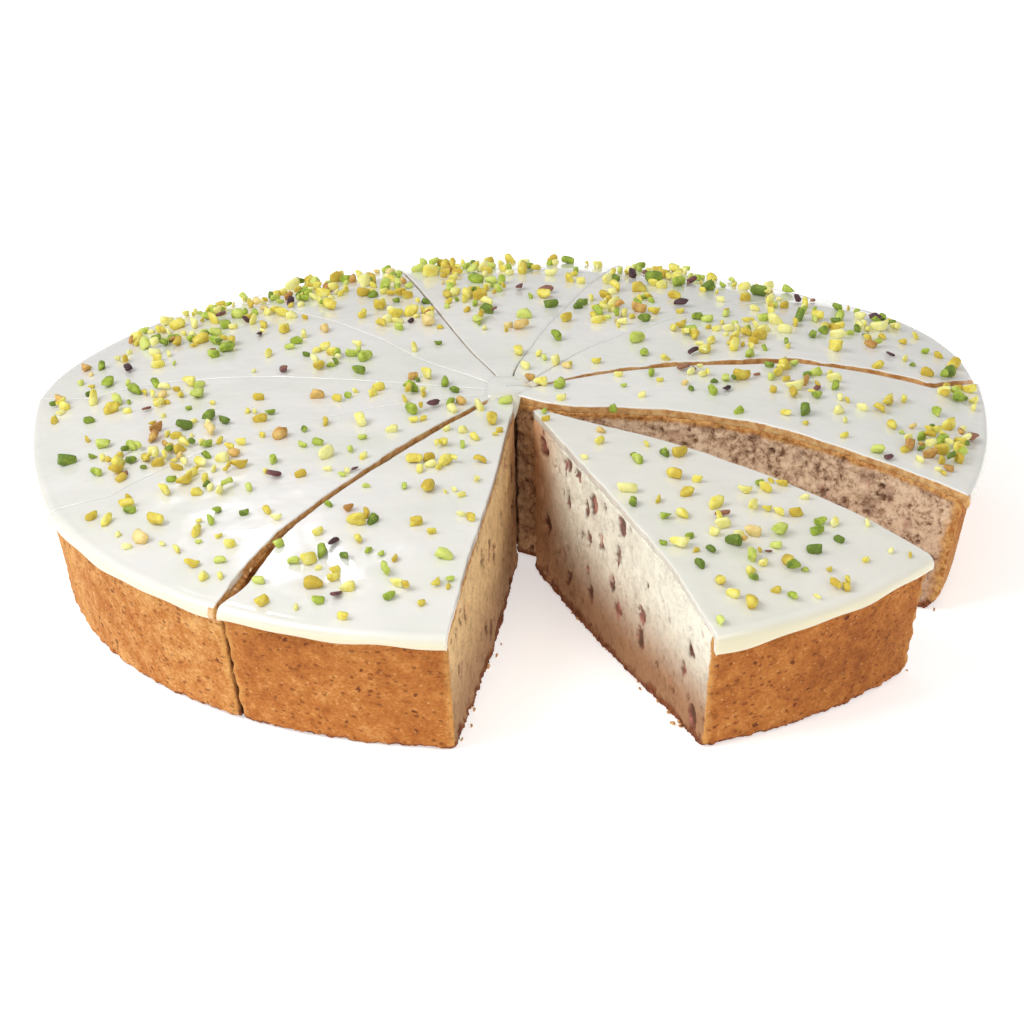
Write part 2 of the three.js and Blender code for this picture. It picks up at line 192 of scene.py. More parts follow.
def dome_height(portion, radius):
    """Height of the icing's surface at a distance from the middle, inside the rounding of the rim."""
    return RIM_HEIGHT + DOME_RISE * (1 - (radius / portion.rim) ** DOME_POWER)


def along_cut(portion, cut, radius, column):
    shares, values = [knot[0] for knot in cut.knots], [knot[column] for knot in cut.knots]
    return np.interp(radius / portion.rim, shares, values)


def course_azimuth(portion, cut, radius):
    return np.radians(along_cut(portion, cut, radius, 1))


def half_gap(portion, cut, radius):
    return along_cut(portion, cut, radius, 2) / 2


def face_azimuths(portion, radius):
    """Azimuths of the low and the high cut face at a distance from the middle."""
    high, low = portion.high, portion.low
    high = course_azimuth(portion, high, radius) - np.arcsin(half_gap(portion, high, radius) / radius)
    low = course_azimuth(portion, low, radius) + np.arcsin(half_gap(portion, low, radius) / radius)
    return low, high


def reach_across(portion, radius, across):
    """The rim isn't a true circle: how much further out than it a point lies."""
    at_low = portion.low.reach[0]
    at_high = portion.high.reach[1]
    at_rim = at_low + across * (at_high - at_low) + portion.belly * 4 * across * (1 - across)
    return 1 + at_rim / portion.rim * (radius / portion.rim) ** 2


def lip_wave(azimuth):
    return sum(LIP_WAVE * share * np.sin(count * azimuth + phase) for share, count, phase in LIP_RIPPLES)


def lip_lift(portion, azimuth, across):
    """How much the lip's foot is raised at a place: its ripples, less the sag towards the low face."""
    return lip_wave(azimuth) - portion.sag * (1 - np.clip(across, 0, 1)) ** 2


def plan_points(portion, radius, across):
    """x and y of points some share of the way across a portion, and their azimuths."""
    low, high = face_azimuths(portion, radius)
    azimuth = low + across * (high - low)
    out = radius * reach_across(portion, radius, across)
    x = out * np.sin(azimuth) + portion.stand[0] + MIDDLE[0]
    y = -out * np.cos(azimuth) + portion.stand[1] + MIDDLE[1]
    return x, y, azimuth


def find_middle():
    """Where the round's own middle lies, from the frame's box and the outline of all rims."""
    corners = []
    for portion in ALL_PORTIONS:
        across = np.linspace(0, 1, 7)
        for radius in (portion.rim, portion.tip):
            x, y, _ = plan_points(portion, np.full(7, float(radius)), across)
            corners += list(zip(x, y))
    corners = np.array(corners)
    box_middle = (cad_low + cad_high)[:2] / 2 / MM
    return box_middle - (corners.min(0) + corners.max(0)) / 2


MIDDLE = np.zeros(2)
MIDDLE = find_middle()


# ---------------- meshes

def new_object(name, data):
    piece = bpy.data.objects.new(name, data)
    bpy.context.scene.collection.objects.link(piece)
    return piece


HEMS = (0.0, 0.12, 0.88, 1.0)     # rows of points across a piece's edge, which keep its corners crisp


def shell_object(name, outer, inner):
    """A closed piece between an outer and an inner sheet, both given as columns of points in millimetres."""
    blocks, faces, start = [], [], 0

    def sheet(points):
        nonlocal start
        rows, columns, _ = points.shape
        grid = np.arange(start, start + rows * columns).reshape(rows, columns)
        blocks.append(points.reshape(-1, 3))
        start += rows * columns
        corners = (grid[:-1, :-1], grid[1:, :-1], grid[1:, 1:], grid[:-1, 1:])
        faces.extend(np.stack([corner.ravel() for corner in corners], 1).tolist())

    sheet(outer)
    sheet(inner[:, ::-1])
    for edge in (0, -1):
        sheet(np.stack([outer[:, edge] * (1 - hem) + inner[:, edge] * hem for hem in HEMS]))
        sheet(np.stack([outer[edge] * (1 - hem) + inner[edge] * hem for hem in HEMS]))
    mesh = bpy.data.meshes.new(name)
    mesh.from_pydata((np.concatenate(blocks) * MM).tolist(), [], faces)
    shape = bmesh.new()
    shape.from_mesh(mesh)
    bmesh.ops.remove_doubles(shape, verts=shape.verts, dist=1e-6)
    bmesh.ops.recalc_face_normals(shape, faces=shape.faces)
    shape.to_mesh(mesh)
    shape.free()
    mesh.polygons.foreach_set("use_smooth", [True] * len(mesh.polygons))
    return new_object(name, mesh)


def settle(piece):
    """Turns a piece with live modifiers into a plain mesh."""
    depsgraph = bpy.context.evaluated_depsgraph_get()
    mesh = bpy.data.meshes.new_from_object(piece.evaluated_get(depsgraph), depsgraph=depsgraph)
    piece.modifiers.clear()
    piece.data = mesh
    mesh.name = piece.name
    return piece


def coordinates(piece):
    points = np.empty(len(piece.data.vertices) * 3, np.float32)
    piece.data.vertices.foreach_get("co", points)
    return points.reshape(-1, 3).astype(float)


def keep_in_box(piece):
    """No point stands outside the frame's box."""
    points = np.clip(coordinates(piece), cad_low, cad_high)
    piece.data.vertices.foreach_set("co", points.astype(np.float32).ravel())
    piece.data.update()


FIELDS = {"FLOAT": "value", "INT": "value", "FLOAT_VECTOR": "vector", "FLOAT_COLOR": "color"}


def store(piece, name, values, kind="FLOAT"):
    """Stores a value for each point, or the same one for all."""
    values = np.array(values, np.int32 if kind == "INT" else np.float32)
    if not values.ndim:
        values = np.full(len(piece.data.vertices), values)
    attribute = piece.data.attributes.new(name, kind, "POINT")
    attribute.data.foreach_set(FIELDS[kind], values.ravel())


# ---------------- node trees

class Nodes:
    """Adds nodes to a shader or geometry tree and links them as it goes."""

    def __init__(self, tree):
        self.tree = tree

    def put(self, socket, value):
        if isinstance(value, bpy.types.NodeSocket):
            self.tree.links.new(value, socket)
        else:
            socket.default_value = value

    def add(self, kind, inputs=(), **settings):
        node = self.tree.nodes.new(kind)
        for name, value in settings.items():
            setattr(node, name, value)
        for key, value in dict(inputs).items():
            self.put(node.inputs[key], value)
        return node

    def math(self, operation, *values, kind="ShaderNodeMath"):
        return self.add(kind, enumerate(values), operation=operation).outputs[0]

    def times(self, first, second):
        return self.math("MULTIPLY", first, second)

    def times_add(self, first, second, third):
        """The product of the first two values, plus the third."""
        return self.math("MULTIPLY_ADD", first, second, third)

    def minus(self, first, second):
        return self.math("SUBTRACT", first, second)

    def scaled(self, vector, by):
        return self.math("MULTIPLY", vector, by, kind="ShaderNodeVectorMath")

    def moved(self, vector, by):
        return self.math("ADD", vector, by, kind="ShaderNodeVectorMath")

    def noise(self, vector, size, detail=2.0, roughness=0.5):
        """Noise whose features are about size millimetres across, from 0 to 1."""
        inputs = {"Vector": vector, "Scale": 1 / (size * MM), "Detail": detail, "Roughness": roughness}
        return self.add("ShaderNodeTexNoise", inputs).outputs[0]

    def wave(self, vector, size, detail=2.0, roughness=0.5, middle=0.5):
        """The same noise about zero."""
        return self.minus(self.noise(vector, size, detail, roughness), middle)

    def noise_vector(self, vector, size, amount):
        """A point shifted by up to about amount millimetres, for edges that aren't round."""
        inputs = {"Vector": vector, "Scale": 1 / (size * MM), "Detail": 2.0}
        shift = self.add("ShaderNodeTexNoise", inputs).outputs[1]
        centred = self.moved(shift, (-0.5, -0.5, -0.5))
        return self.math("MULTIPLY_ADD", centred, (2 * amount * MM,) * 3, vector, kind="ShaderNodeVectorMath")

    def height(self, position):
        """Millimetres over the table."""
        return self.math("DIVIDE", self.add("ShaderNodeSeparateXYZ", {0: position}).outputs[2], MM)

    def cells(self, vector, size):
        """Distance from the middle of the nearest cell, in cell sizes, and a random number for each cell."""
        node = self.add("ShaderNodeTexVoronoi", {"Vector": vector, "Scale": 1 / (size * MM)})
        pick = self.add("ShaderNodeSeparateXYZ", {0: node.outputs[1]})
        return node.outputs[0], pick.outputs[0]

    def spots(self, vector, size, reach, start, end, frayed=None):
        """Spots in cells, with a radius of up to reach cell sizes, that rise from 0 to 1 over their edge."""
        far, pick = self.cells(vector, size)
        inside = self.minus(self.times(pick, reach), far)
        if frayed is not None:
            inside = self.times_add(frayed, 0.5, inside)
        return self.step(inside, start, end)

    def step(self, value, start, end):
        """Rises smoothly from 0 at start to 1 at end, and falls where start is the greater."""
        low, high = sorted((start, end))
        inputs = {0: value, 1: low, 2: high, 3: float(start > end), 4: float(start < end)}
        return self.add("ShaderNodeMapRange", inputs, interpolation_type="SMOOTHSTEP").outputs[0]

    def mix(self, factor, first, second, blend="MIX"):
        inputs = {0: factor, 6: first, 7: second}
        return self.add("ShaderNodeMix", inputs, data_type="RGBA", blend_type=blend).outputs[2]

    def ramp(self, factor, stops):
        """A run of colours, each given as it looks on screen."""
        node = self.add("ShaderNodeValToRGB", {0: factor})
        elements = node.color_ramp.elements
        while len(elements) < len(stops):
            elements.new(0.5)
        for element, (place, colour) in zip(elements, stops):
            element.position = place
            element.color = srgb(*colour)
        return node.outputs[0]


def srgb(red, green, blue):
    """A colour given as it looks on screen, from 0 to 255, as the linear colour that shaders take."""
    channels = [value / 255 for value in (red, green, blue)]
    return (*[c / 12.92 if c <= 0.04045 else ((c + 0.055) / 1.055) ** 2.4 for c in channels], 1.0)


# ---------------- sponge: shape

SPONGE_COLUMNS = 40       # across a portion, before its surface is made even


def line_over_rim(portion, depth, steps, turns):
    """A line at a depth under the cake's surface, from the tip over the top and round the rim."""
    start = portion.rim - RIM_ROUNDING
    centre = dome_height(portion, start) - RIM_ROUNDING
    inside = RIM_ROUNDING - depth
    top = np.linspace(portion.tip, start, steps)
    line = [(radius, dome_height(portion, radius) - depth) for radius in top]
    for turn in np.radians(turns):
        line.append((start + inside * math.sin(turn), centre + inside * math.cos(turn)))
    return line


def sponge_section(portion):
    """The sponge's outer line, from the tip over the top and down the wall, and the base under each point."""
    line = line_over_rim(portion, ICING_THICKNESS + ICING_GAP, 40, [30, 60, 90])
    base = portion.rim * BASE_RADIUS / RIM_RADIUS
    shoulder = np.array(line[-1])
    line += list(shoulder + np.linspace(0, 1, 12)[1:, None] * ((base, portion.foot) - shoulder))
    line.append((base - portion.foot, 0.0))
    outer = np.array(line)
    inner = np.stack([np.minimum(outer[:, 0], base - portion.foot), np.zeros(len(outer))], 1)
    return outer, inner


def sweep(portion, section):
    """Columns of points round the middle for a section line."""
    across = np.linspace(0, 1, SPONGE_COLUMNS + 1)[:, None]
    radius = np.broadcast_to(section[:, 0], (len(across), len(section)))
    x, y, _ = plan_points(portion, radius, across)
    return np.stack([x, y, np.broadcast_to(section[:, 1], radius.shape)], 2)


def wall_radius(portion, height):
    """The baked wall's distance from the middle at a height."""
    base = portion.rim * BASE_RADIUS / RIM_RADIUS
    shoulder = portion.rim - ICING_THICKNESS - ICING_GAP
    share = np.clip(height / (RIM_HEIGHT - RIM_ROUNDING), 0, 1.1)
    return base + share * (shoulder - base)


LOW_CRUMB = 6.0           # the crumb's colour changes between these heights
HIGH_CRUMB = 34.0
TIP_REACH = 34.0          # how far the tip's colour goes


def smooth(share):
    share = np.clip(share, 0, 1)
    return share * share * (3 - 2 * share)


def locate(piece, portion):
    """Each point's place in millimetres, its radius as on an even round, and how far in it lies from both
    cut faces."""
    points = coordinates(piece) / MM
    x = points[:, 0] - MIDDLE[0] - portion.stand[0]
    y = points[:, 1] - MIDDLE[1] - portion.stand[1]
    out = np.maximum(np.hypot(x, y), 1.0)
    azimuth = np.arctan2(x, -y)
    low, high = face_azimuths(portion, out)
    azimuth = np.where(azimuth > high + math.pi, azimuth - 2 * math.pi, azimuth)
    azimuth = np.where(azimuth < low - math.pi, azimuth + 2 * math.pi, azimuth)
    across = np.clip((azimuth - low) / (high - low), 0, 1)
    radius = out / reach_across(portion, out, across)
    return points, radius, (azimuth - low) * radius, (high - azimuth) * radius


def measure_sponge(piece, portion):
    """Stores how deep each point lies under the baked wall and top, and behind the nearest cut face."""
    points, radius, from_low, from_high = locate(piece, portion)
    store(piece, "wall", wall_radius(portion, points[:, 2]) - radius)
    store(piece, "top", dome_height(portion, radius) - ICING_THICKNESS - ICING_GAP - points[:, 2])
    store(piece, "cut", np.minimum(from_low, from_high))
    crumb = portion.crumb
    for name, value in (("roast", portion.roast), ("coarse", crumb.clumps), ("top_band", crumb.top_band),
                        ("wall_band", crumb.wall_band)):
        store(piece, name, value)
    # The crumb's colour runs from the palette's high colour to its low one by height, and to its tip colour
    # near the point. On the open faces this gradient also paints their light and shade.
    high, low, tip = (np.array(srgb(*colour)) for colour in (crumb.high, crumb.low, crumb.tip))
    share = smooth((points[:, 2] - LOW_CRUMB) / (HIGH_CRUMB - LOW_CRUMB))[:, None]
    colours = low + share * (high - low)
    colours += (1 - smooth(radius / TIP_REACH))[:, None] * (tip - colours)
    store(piece, "crumb", colours, "FLOAT_COLOR")


def open_crumb(nodes, position):
    """The crumb's holes, the dark streaks of fruit, and how far from the middle of its clump a point is."""
    bent = nodes.noise_vector(position, 3.0, 0.9)
    far, pick = nodes.cells(bent, 10.0)
    width = nodes.step(pick, 0.64, 1.15)
    large = nodes.minus(nodes.times(width, 0.5), far)
    large = nodes.step(large, 0.0, 0.12)
    middling = nodes.spots(bent, 3.4, 0.42, -0.04, 0.14)
    holes = nodes.times_add(middling, 0.5, large)
    upright = nodes.scaled(nodes.noise_vector(position, 2.6, 1.5), (1.0, 1.0, 0.66))
    streak = nodes.spots(upright, 6.0, 0.47, -0.03, 0.08, nodes.wave(position, 1.6, 3.0, 0.65))
    clump, _ = nodes.cells(nodes.noise_vector(position, 1.6, 0.9), 1.6)
    return holes, streak, clump


def new_geometry_tree(name, inputs):
    """A geometry tree with inputs of the given kinds."""
    tree = bpy.data.node_groups.new(name, "GeometryNodeTree")
    for way in ("INPUT", "OUTPUT"):
        tree.interface.new_socket("Geometry", in_out=way, socket_type="NodeSocketGeometry")
    for label, kind in inputs.items():
        tree.interface.new_socket(label, in_out="INPUT", socket_type=f"NodeSocket{kind}")
    return tree


def run_tree(piece, tree, values):
    """Changes a piece by a geometry tree, with a value for each of the tree's inputs."""
    modifier = piece.modifiers.new(tree.name, "NODES")
    modifier.node_group = tree
    for label, value in values.items():
        modifier[tree.interface.items_tree[label].identifier] = value
    settle(piece)
    keep_in_box(piece)


def named(nodes, name, kind="FLOAT"):
    return nodes.add("GeometryNodeInputNamedAttribute", {"Name": name}, data_type=kind).outputs[0]


HOLE_DEPTH = 2.2          # relief of the cut faces
STREAK_DEPTH = 0.6
CLUMP_HEIGHT = 0.9
CRUMB_SWELL = 1.3
FOOT_TORN = 4.0
CRUST_GRAIN = 0.55        # and of the crust
PIT_DEPTH = 0.35
FOOT_RAGGED = 3.4
EDGE_NICKED = 2.0


def sponge_relief_tree():
    """Opens the crumb's holes on the cut faces and roughens the crust, most of all at its foot."""
    tree = new_geometry_tree("sponge_relief", {"Holes": "Float", "Clumps": "Float", "Streaks": "Float"})
    nodes = Nodes(tree)
    given = nodes.add("NodeGroupInput")
    position = nodes.add("GeometryNodeInputPosition").outputs[0]
    wall, top, cut = (named(nodes, name) for name in ("wall", "top", "cut"))
    height = nodes.height(position)

    on_cut = nodes.step(cut, 1.3, 0.5)
    for depth, start, end in ((wall, 0.6, 2.2), (top, 0.3, 1.6), (height, 0.4, 1.6)):
        on_cut = nodes.times(on_cut, nodes.step(depth, start, end))
    holes, streak, clump = open_crumb(nodes, position)
    holes = nodes.times(holes, given.outputs["Holes"])
    streak = nodes.times(streak, given.outputs["Streaks"])
    clump = nodes.times(nodes.minus(0.4, clump), given.outputs["Clumps"])
    crumb = nodes.times(holes, -HOLE_DEPTH)
    crumb = nodes.times_add(streak, -STREAK_DEPTH, crumb)
    crumb = nodes.times_add(clump, CLUMP_HEIGHT, crumb)
    crumb = nodes.times_add(nodes.wave(position, 7.0, 3.0), CRUMB_SWELL, crumb)

    fine = nodes.wave(position, 2.2, 4.0, 0.65)
    pits = nodes.spots(nodes.noise_vector(position, 1.5, 0.4), 2.1, 0.33, -0.02, 0.1)
    crust = nodes.times_add(fine, CRUST_GRAIN, nodes.times(pits, -PIT_DEPTH))
    ragged = nodes.wave(position, 3.6, 3.0, 0.7, 0.42)
    at_foot = nodes.times(nodes.step(height, 5.0, 0.6), nodes.step(height, 0.02, 0.5))
    crust = nodes.times_add(nodes.times(ragged, at_foot), FOOT_RAGGED, crust)
    nicked = nodes.wave(position, 3.0, middle=0.55)
    at_edge = nodes.times(nodes.step(cut, 2.0, 0.3), nodes.step(wall, 2.0, 0.3))
    crust = nodes.times_add(nodes.times(nicked, at_edge), EDGE_NICKED, crust)
    torn = nodes.wave(position, 5.0, 3.0, 0.65)
    under = nodes.times(nodes.step(height, 5.0, 2.6), nodes.step(height, 0.02, 0.5))
    crumb = nodes.times_add(nodes.times(torn, under), FOOT_TORN, crumb)

    amount = nodes.add("ShaderNodeMix", {0: on_cut, 2: crust, 3: crumb}, data_type="FLOAT")
    normal = nodes.add("GeometryNodeInputNormal").outputs[0]
    metres = nodes.times(amount.outputs[0], MM)
    offset = nodes.add("ShaderNodeVectorMath", {0: normal, "Scale": metres}, operation="SCALE").outputs[0]
    moved = nodes.add("GeometryNodeSetPosition", {"Geometry": given.outputs["Geometry"], "Offset": offset})
    kept = moved.outputs[0]
    for name, value in (("holes", holes), ("streak", streak)):
        value = nodes.times(value, on_cut)
        kept = nodes.add("GeometryNodeStoreNamedAttribute", {"Geometry": kept, "Name": name, "Value": value},
                         data_type="FLOAT", domain="POINT").outputs[0]
    nodes.add("NodeGroupOutput", {0: kept})
    return tree


def sponge_piece(portion, relief, material):
    outer, inner = sponge_section(portion)
    piece = shell_object(f"sponge_look_{portion.name}", sweep(portion, outer), sweep(portion, inner))
    remesh = piece.modifiers.new("remesh", "REMESH")
    remesh.mode = "VOXEL"
    remesh.voxel_size = portion.voxel * MM
    remesh.use_smooth_shade = True
    settle(piece)
    measure_sponge(piece, portion)
    crumb = portion.crumb
    run_tree(piece, relief, {"Holes": crumb.holes, "Clumps": crumb.clumps, "Streaks": crumb.streaks})
    piece.data.materials.clear()
    piece.data.materials.append(material)
    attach(piece, "root")
    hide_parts(f"sponge_{portion.name}")
    return piece


# ---------------- sponge: finish

def new_material(name, finish):
    """A material, its nodes, its shader, and the position that its patterns follow."""
    material = bpy.data.materials.new(name)
    material.use_nodes = True
    shader = material.node_tree.nodes["Principled BSDF"]
    for key, value in finish.items():
        shader.inputs[key].default_value = value
    nodes = Nodes(material.node_tree)
    return material, nodes, shader, nodes.add("ShaderNodeTexCoord").outputs["Object"]


def stored(nodes, name):
    return nodes.add("ShaderNodeAttribute", attribute_name=name).outputs["Fac"]


def dress(nodes, shader, colour, height, depth, strength):
    """Sets the colour, and bends the shading by a height from 0 to 1 that stands for depth millimetres."""
    nodes.put(shader.inputs["Base Color"], colour)
    node = nodes.add("ShaderNodeBump", {"Strength": strength, "Distance": depth * MM, "Height": height})
    nodes.put(shader.inputs["Normal"], node.outputs[0])


def crust_colour(nodes, position):
    """Golden brown and mottled, with painted shade in pores, a few larger ones, and pale specks."""
    broad = nodes.noise(position, 20.0, 3.0, 0.6)
    mottle = nodes.noise(nodes.scaled(position, (1.0, 1.0, 1.5)), 1.1, 5.0, 0.75)
    patches = nodes.noise(position, 4.0, 3.0, 0.6)
    tone = nodes.times_add(broad, 0.35, nodes.times_add(mottle, 0.55, -0.04))
    tone = nodes.times_add(patches, 0.40, tone)
    # darker by the portion's roast amount, which holds painted shade on walls turned away from the key light
    # as well as the baking
    tone = nodes.minus(tone, nodes.times(stored(nodes, "roast"), 0.18))
    colour = nodes.ramp(tone, [
        (0.33, (148, 83, 34)), (0.43, (175, 104, 45)), (0.54, (194, 124, 59)),
        (0.70, (228, 174, 106)),
    ])
    # painted shade in the crust's pores, which the bump below also dents, and in a few larger ones
    flat = nodes.scaled(nodes.noise_vector(position, 1.5, 0.6), (0.8, 0.8, 1.3))
    pores = nodes.spots(flat, 1.9, 0.36, -0.04, 0.08)
    colour = nodes.mix(nodes.times(pores, 0.6), colour, srgb(116, 58, 26))
    dark = nodes.spots(nodes.noise_vector(position, 2.0, 1.0), 5.0, 0.22, 0.0, 0.06)
    colour = nodes.mix(nodes.times(dark, 0.8), colour, srgb(96, 42, 22))
    specks = nodes.spots(nodes.moved(position, (0.3, 0.1, 0.2)), 1.7, 0.24, 0.0, 0.06)
    return nodes.mix(nodes.times(specks, 0.35), colour, srgb(240, 196, 136)), mottle, pores


def crumb_colour(nodes, position):
    """The crumb's colour, patchy with painted shade in small pits, with painted shade in its holes, and brown
    to reddish in streaks.
    """
    own = nodes.add("ShaderNodeAttribute", attribute_name="crumb").outputs["Color"]
    patch = nodes.noise(position, 5.0, 3.0, 0.6)
    grain = nodes.noise(nodes.noise_vector(position, 2.0, 0.8), 1.5, 5.0, 0.75)
    # painted shade in the crumb's small pits, where the noise runs low
    shade = nodes.ramp(nodes.times_add(patch, 0.4, nodes.times(grain, 0.6)), [
        (0.37, (112, 84, 72)), (0.44, (186, 168, 156)), (0.51, (236, 230, 220)),
        (0.60, (255, 255, 250)),
    ])
    shaded = nodes.mix(1.0, own, shade, "MULTIPLY")
    colour = nodes.mix(nodes.times_add(stored(nodes, "coarse"), 0.8, 0.2), own, shaded)
    # painted shade inside the crumb's holes
    colour = nodes.mix(nodes.step(stored(nodes, "holes"), 0.1, 0.9), colour, srgb(104, 60, 42))
    stain = nodes.ramp(nodes.noise(position, 5.0, 3.0), [
        (0.38, (84, 52, 36)), (0.50, (118, 62, 50)), (0.64, (186, 120, 104)),
    ])
    return nodes.mix(nodes.times(stored(nodes, "streak"), 0.9), colour, stain), grain


def sponge_material():
    finish = {"Roughness": 0.85, "Specular IOR Level": 0.25}
    material, nodes, shader, position = new_material("baked_sponge", finish)
    wall, top, cut = (stored(nodes, name) for name in ("wall", "top", "cut"))
    height = nodes.height(position)
    wander = nodes.wave(position, 4.5, 4.0, 0.6)

    crust, mottle, pores = crust_colour(nodes, position)
    colour, grain = crumb_colour(nodes, position)
    golden = nodes.noise(position, 1.6, 4.0, 0.65)
    golden = nodes.ramp(golden, [(0.38, (178, 112, 58)), (0.62, (226, 174, 106))])
    for depth, band in ((top, "top_band"), (wall, "wall_band")):
        share = nodes.times_add(wander, 1.1, nodes.math("DIVIDE", depth, stored(nodes, band)))
        colour = nodes.mix(nodes.step(share, 1.15, 0.5), colour, golden)
    underside = nodes.noise(position, 1.2, 4.0, 0.7)
    underside = nodes.ramp(underside, [(0.35, (92, 48, 30)), (0.62, (150, 88, 52))])
    above_foot = nodes.times_add(wander, 6.0, height)
    colour = nodes.mix(nodes.step(above_foot, 3.6, 1.4), colour, underside)
    skin = nodes.times_add(wander, 1.2, wall)
    # a lighter golden band along the wall's cut edges: partly the crust's thin edge, partly a painted
    # highlight
    corner = nodes.step(nodes.times_add(wander, 5.0, cut), 2.4, 0.2)
    crust = nodes.mix(nodes.times(corner, 0.5), crust, srgb(232, 176, 100))
    colour = nodes.mix(nodes.step(skin, 1.0, 0.5), colour, crust)
    relief = nodes.times_add(mottle, 0.6, nodes.times(grain, 0.6))
    relief = nodes.minus(relief, nodes.times(pores, 0.4))
    dress(nodes, shader, colour, relief, 0.6, 0.9)
    return material


# ---------------- icing

ICING_STEPS = 110         # rows of points over the top
ICING_COLUMNS = 64        # and columns across a portion
EDGE_ROUNDING = 0.35      # at the cuts, with rows of points at the distances below
EDGE_DISTANCES = np.array([0.0, 0.05, 0.12, 0.22, 0.35, 0.7, 1.4])
LIP_ROUNDING = 0.85
LIP_SHADE = 0.9           # how much painted shade, yellower and duller, lies on the lip
BEDDING = 0.5             # how far the icing has sunk into the gap over the sponge
EDGE_STRAY = 0.12         # how far the edge at a cut wanders from its line
SWELLS = [(0.55, 34, 3.7), (0.16, 11, 8.1)]   # height and size of a swell, and its place in the noise


def surface_swell(x, y):
    """How far the icing rises and falls at a place."""
    return sum(height * noise.noise(Vector((x / size, y / size, at))) for height, size, at in SWELLS)


def swell_grid(x, y):
    return np.array([surface_swell(a, b) for a, b in zip(x.ravel(), y.ravel())]).reshape(x.shape)


def icing_section(portion):
    """Outer and inner lines of the icing, and how much each point takes of the lip's wave."""
    outer, inner = (
        [(*point, 0.0) for point in line_over_rim(portion, depth, ICING_STEPS, range(15, 91, 15))]
        for depth in (0.0, ICING_THICKNESS + BEDDING)
    )
    centre = outer[-1][1]
    foot = RIM_HEIGHT - portion.lip
    fall = max(centre - foot - LIP_ROUNDING, 0.05)
    for share in (0.3, 0.6, 1.0):
        outer.append((portion.rim - LIP_DRAW_IN * share * 0.7, centre - fall * share, share))
        inner.append((portion.rim - ICING_THICKNESS - BEDDING, centre - fall * share * 0.9, share))
    for turn in np.radians([30, 60, 90]):
        outer.append((
            portion.rim - LIP_DRAW_IN - LIP_ROUNDING * (1 - math.cos(turn)),
            foot + LIP_ROUNDING * (1 - math.sin(turn)),
            1.0,
        ))
        inner.append((portion.rim - ICING_THICKNESS, foot + LIP_TOE + 0.2 * (1 - math.sin(turn)), 1.0))
    return np.array(outer), np.array(inner)


def edge_noise(radius, seed, size):
    return np.array([noise.noise(Vector((r / size, seed, 0.5))) for r in radius])


def measure_icing(piece, portion):
    """Stores how brown with crumb the edges at the cuts are, and how much painted shade lies on the icing."""
    points, radius, from_low, from_high = locate(piece, portion)
    depth = dome_height(portion, radius) + swell_grid(points[:, 0], points[:, 1]) - points[:, 2]
    smear = np.zeros(len(points))
    for amount, setback, inside in zip(portion.smear, portion.setback, (from_low, from_high)):
        at_edge = 1 - smooth((inside - 1.8 * setback - 0.8) / 0.6)
        smear = np.maximum(smear, amount * at_edge * smooth((depth - 0.1) / 0.5))
    store(piece, "smear", smear)
    # painted shade on the lip's lower part, added to the portion's own painted shade
    lip = smooth((radius - portion.rim + 2.5) / 2) * smooth((RIM_HEIGHT + 0.5 - points[:, 2]) / 3)
    store(piece, "cream", portion.cream + LIP_SHADE * lip)


def icing_piece(portion, material):
    outer, inner = icing_section(portion)
    radius = outer[:, 0]
    low, high = face_azimuths(portion, radius)
    width = (high - low) * radius
    insets = []
    for face, setback in enumerate(portion.setback):
        ragged = edge_noise(radius, portion.seed + 31.7 * face, 6.0)
        ragged += 0.6 * edge_noise(radius, portion.seed + face, 2.0)
        stray = EDGE_STRAY + max(setback, 0) * 0.5
        cut = portion.high if face else portion.low
        closed = portion.closing[face] * half_gap(portion, cut, radius)
        parted = np.interp(radius / portion.rim, *zip(*cut.parted))
        insets.append((setback + parted - closed + stray * ragged) * np.clip(width / 20, 0.05, 1))
    span = width - insets[0] - insets[1]

    steps = np.linspace(0, 1, ICING_COLUMNS + 1)[1:-1]
    near = EDGE_DISTANCES[:, None] * np.clip(span / 12, 0.02, 1)
    middle = near[-1] + steps[:, None] * (span - 2 * near[-1])
    distance = np.concatenate([near, middle, span - near[::-1]])
    from_edge = np.minimum(distance, span - distance)
    across = (insets[0] + distance) / width

    def place(line, follow):
        x, y, azimuth = plan_points(portion, np.broadcast_to(line[:, 0], across.shape), across)
        z = line[:, 1] + line[:, 2] * lip_lift(portion, azimuth, across)
        rounding = np.clip(EDGE_ROUNDING - from_edge, 0, EDGE_ROUNDING)
        drop = EDGE_ROUNDING - np.sqrt(EDGE_ROUNDING ** 2 - rounding ** 2)
        return np.stack([x, y, z + follow * (swell_grid(x, y) * (1 - line[:, 2]) - drop)], 2)

    piece = shell_object(f"icing_look_{portion.name}", place(outer, 1.0), place(inner, 0.0))
    measure_icing(piece, portion)
    keep_in_box(piece)
    piece.data.materials.append(material)
    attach(piece, "root")
    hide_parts(f"icing_{portion.name}")
    return piece


CENTRE_AT = (-1.0, 3.0)       # from the cake's middle
CENTRE_REACH = 9.5
CENTRE_SPREAD = 0.28          # how far its outline strays, as a share of the reach
CENTRE_TONGUE = 0.25          # how much further it reaches towards the open side
CENTRE_RISE = 0.55
CENTRE_SUNK = 0.5             # how far its outline lies under the icing's surface
CENTRE_THICKNESS = 2.2
DROOP_START = -3.5            # where it starts to hang down into the opening, and how steeply
DROOP = 0.09


